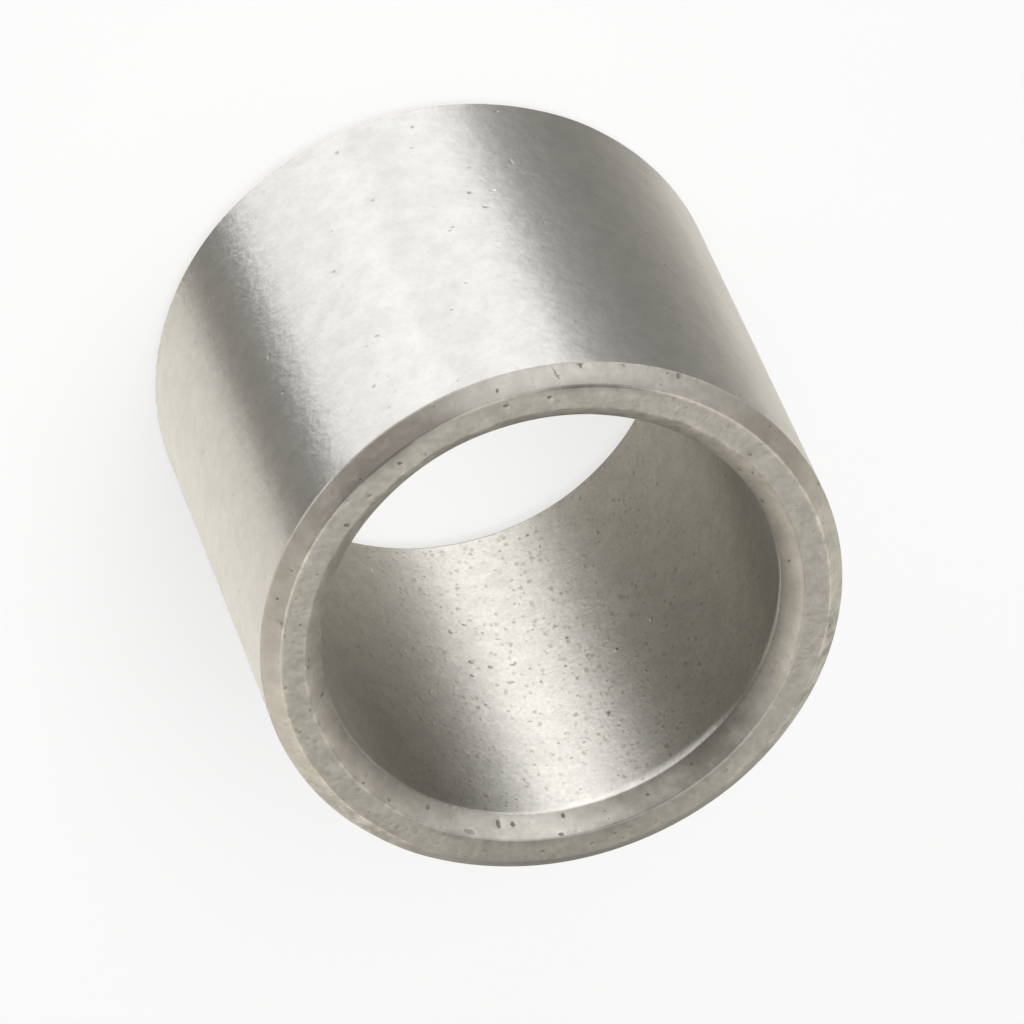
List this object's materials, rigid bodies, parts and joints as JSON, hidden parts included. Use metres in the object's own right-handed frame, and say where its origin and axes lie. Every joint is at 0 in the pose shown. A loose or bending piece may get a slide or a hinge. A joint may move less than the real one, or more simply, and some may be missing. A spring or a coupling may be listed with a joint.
{
  "type": "pivot bushing",
  "caption": "Plain straight sleeve of porous sintered metal with chamfered rims, pressed into a lever or frame so that a pivot pin turns in its bore.",
  "frame": {"origin": "centre of the bottom end, on the bore's axis, where the bushing stands", "axes": "+Z along the bore's axis from the bottom end to the top end; X and Y are free, because the sleeve is round"},
  "size_m": [0.028, 0.028, 0.0254],
  "materials": {
    "sintered_metal": "satin, pressed and sintered, with fine open pores"
  },
  "bodies": {
    "root": {"bushing": "sintered_metal"}
  },
  "joints": []
}
